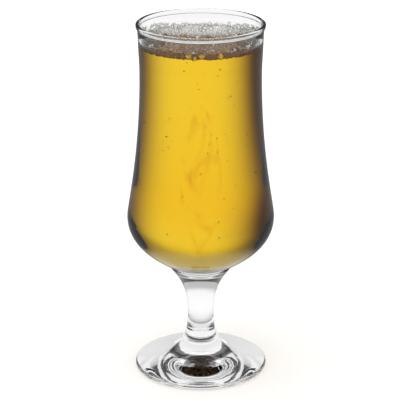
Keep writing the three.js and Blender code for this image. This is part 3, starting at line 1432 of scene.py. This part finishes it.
@dataclass
class Studio:
    """White table, soft light, rings of cloth and a camera at the photograph's angle."""

    camera: Vector = field(default_factory=lambda: Vector((0.0, -0.8225, 0.3905)))
    pitch: float = math.radians(19.89)
    lens: float = 150.435
    sensor: float = 36.0
    shift: tuple[float, float] = (-0.00175, 0.00125)
    table: float = 6.0
    drop: float = 0.3 * MM  # of the table below the foot
    cloth_gap: float = 3 * MM
    bowl_skirt: float = 22 * MM
    foot_skirt: float = 12 * MM
    foot_low: float = 0.2 * MM
    rim_radius: float = 77 * MM
    rim_low: float = 140 * MM
    rim_high: float = 206 * MM
    lip_radius: float = 50 * MM
    lip_low: float = 167 * MM
    ambient: float = 0.8  # brightness of the soft light from all round
    horizon: float = 0.08  # sines of the heights where the white horizon ends and where the ceiling is dark
    ceiling: float = 0.63
    blend: float = 0.11  # half the width of each change
    wall: float = 0.16  # brightness between the two
    mirrored: float = 0.25  # brightness of the horizon in plain reflections
    lamps: tuple[Lamp, ...] = (
        Lamp("overhead_lamp", (-0.15, 0.1, 1.3), 1.0, 5.5),
        Lamp("sheen_lamp", (0.0, 0.0, 0.9), 1.1, 9.8, mirrored_only=True),
    )

    def place_camera(self) -> None:
        """Put the camera where the photograph was taken from."""
        data = bpy.data.cameras.new("camera")
        data.sensor_fit = "HORIZONTAL"
        data.sensor_width = self.sensor
        data.lens = self.lens
        data.shift_x, data.shift_y = self.shift
        data.clip_start = 0.01
        camera = bpy.data.objects.new("camera", data)
        camera.location = self.camera
        camera.rotation_euler = (math.pi / 2 - self.pitch, 0.0, 0.0)
        bpy.context.scene.collection.objects.link(camera)
        bpy.context.scene.camera = camera

    def lay_table(self) -> None:
        """Lay the white table under the foot."""
        half = self.table / 2
        mesh = bmesh.new()
        corners = [(-half, -half), (half, -half), (half, half), (-half, half)]
        mesh.faces.new([mesh.verts.new((x, y, -self.drop)) for x, y in corners])
        linked("table", mesh, [PaleFloor()])

    def ring_with_cloth(self, bowl: Bowl, foot: Foot) -> None:
        """Stand rings of louvred cloth round the glass, seen only through it.

        Args:
            bowl: the bowl that one ring follows.
            foot: the foot that another goes round.
        """
        outer = bowl.side(bowl.outer)
        side = [point for point in outer if point.y < bowl.beer_level] + [crossing(outer, bowl.beer_level)]
        skirt = at(side[0].x, bowl.extent.bottom - self.bowl_skirt)
        self.stand_ring([skirt] + side, GridCloth(
            "bowl_cloth", skirt.y, side[-1].y, square=0.04, slant=0.52, lit=0.44,
            turned=math.radians(-4.5), low_turned=math.radians(-13.0), low_tight=1.2, steady=90 * MM,
            top_fade=1 * MM, green=1.2, blue=1.3))
        self.stand_ring([at(self.rim_radius, height) for height in (self.rim_low, self.rim_high)], GridCloth(
            "rim_cloth", self.rim_low, self.rim_high, square=0.6, slant=0.9, lit=1.0))
        self.stand_ring([at(self.lip_radius, height) for height in (self.lip_low, self.rim_high)], GridCloth(
            "lip_cloth", self.lip_low, self.rim_high, square=0.2085, slant=0.236, held=0.02))
        low, high = self.foot_low, foot.extent.top + 2 * self.foot_skirt
        self.stand_ring([at(foot.extent.radius, height) for height in (low, high)], GridCloth(
            "foot_cloth", low - self.foot_skirt, high, square=0.08, slant=0.22, upright=False))

    def stand_ring(self, profile: Sequence[Vector], cloth: GridCloth) -> None:
        """Stand one ring of cloth that only light through the glass meets.

        Args:
            profile: what it goes round.
            cloth: what it is made of.
        """
        lathe = Lathe(cloth.name, [cloth])
        lathe.turn([Span([point + at(self.cloth_gap, 0.0) for point in profile], cloth)])
        ring = linked(lathe.name, lathe.mesh, lathe.finishes)
        for kind in ("camera", "diffuse", "glossy", "shadow", "volume_scatter"):
            setattr(ring, "visible_" + kind, False)

    def light(self) -> None:
        """Light the table and put a grey room with a white horizon and a dark ceiling round it."""
        world = bpy.data.worlds.new("studio")
        bpy.context.scene.world = world
        world.use_nodes = True
        graph = Graph(world.node_tree)
        upward = graph.along(graph.node("TexCoord").outputs["Generated"], "Z")
        bright = graph.ramp(graph.rays(Rays.THROUGH), 0.0, 1.0, self.mirrored, 1.0)
        low = graph.ramp(upward, self.horizon - self.blend, self.horizon + self.blend, bright, self.wall)
        high = graph.ramp(upward, self.ceiling - self.blend, self.ceiling + self.blend, 1.0, 0.0)
        room, soft, white = (graph.add("Background", {"Color": WHITE, "Strength": strength})
                             for strength in (graph.math("MULTIPLY", low, high), self.ambient, 1.0))
        bent = graph.math("MAXIMUM", graph.rays(Rays.GLOSSY), graph.rays(Rays.THROUGH))
        graph.finish(graph.mix(graph.rays(Rays.CAMERA), graph.mix(bent, soft, room), white))
        for lamp in self.lamps:
            lamp.hang()

    def settle(self) -> None:
        """Set how light is followed and shown."""
        scene = bpy.context.scene
        scene.view_settings.view_transform = "Standard"
        scene.cycles.max_bounces = 12
        scene.cycles.transmission_bounces = 8
        scene.cycles.glossy_bounces = 12
        scene.cycles.transparent_max_bounces = 48
        scene.cycles.caustics_reflective = False
        scene.cycles.caustics_refractive = True


def main() -> None:
    """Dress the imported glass."""
    logging.basicConfig(level=logging.INFO, format="%(name)s: %(message)s")
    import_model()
    studio = Studio()
    studio.place_camera()
    studio.lay_table()
    studio.light()
    studio.settle()
    stem = Stem(Extent.of("stem"))
    foot = Foot(Extent.of("foot"))
    beer_level = Extent.of("beer").top
    bowl = Bowl(Extent.of("bowl"), stem.extent.radius, beer_level)
    studio.ring_with_cloth(bowl, foot)
    for piece in (foot, stem, bowl, Beer(bowl, beer_level), FoamHead(bowl, Extent.of("foam_head"))):
        piece.build()


if __name__ == "__main__":
    main()
